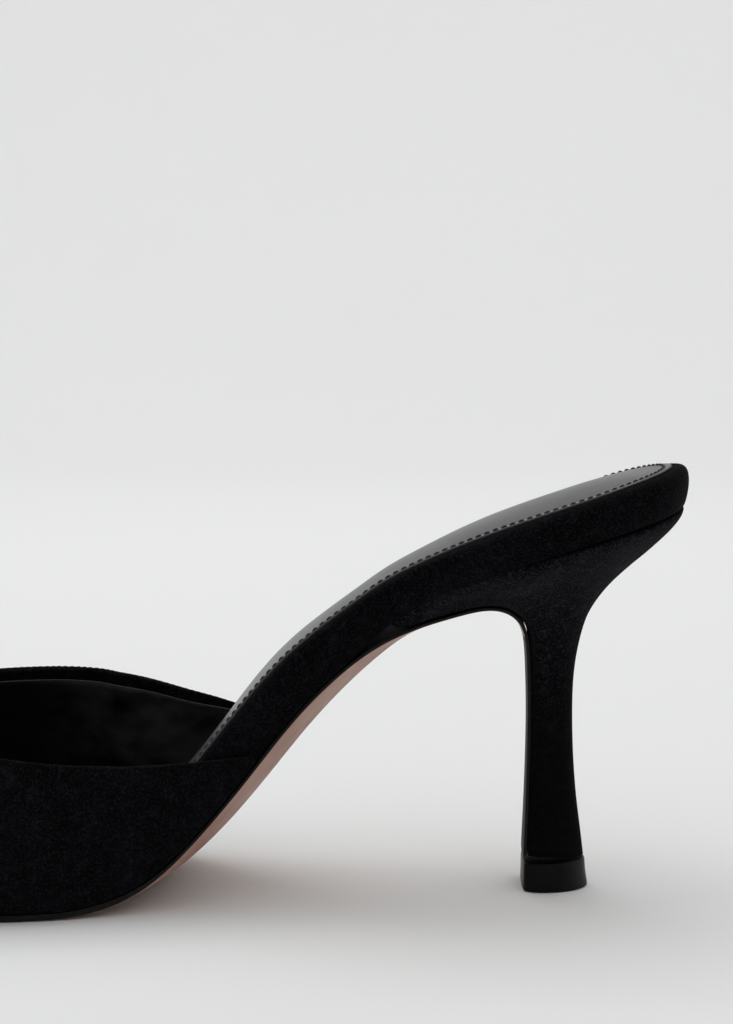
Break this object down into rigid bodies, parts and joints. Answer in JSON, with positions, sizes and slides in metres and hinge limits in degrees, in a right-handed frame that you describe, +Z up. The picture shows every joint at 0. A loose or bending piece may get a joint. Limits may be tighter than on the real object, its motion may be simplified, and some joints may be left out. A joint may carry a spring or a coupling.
{
  "type": "heeled mule",
  "caption": "Backless high-heeled mule with a closed pointed vamp, a padded footbed, a thin leather sole and a slim flared heel; the left shoe of a pair.",
  "frame": {"origin": "on the floor under the middle of the heel's wear cap", "axes": "+Z up from the floor, -X along the foot to the toe, -Y to the outer side of the left foot"},
  "size_m": [0.2276, 0.0772, 0.0947],
  "materials": {
    "sole_leather": "smooth tan sole leather",
    "velvet": "short black pile",
    "heel_velvet": "short black pile",
    "lining_leather": "smooth black lining leather",
    "cap_plastic": "polished black plastic"
  },
  "bodies": {
    "root": {"outsole": "sole_leather", "footbed": "velvet", "sock": "lining_leather", "upper": "velvet", "heel": "heel_velvet", "top_piece": "cap_plastic"}
  },
  "joints": []
}
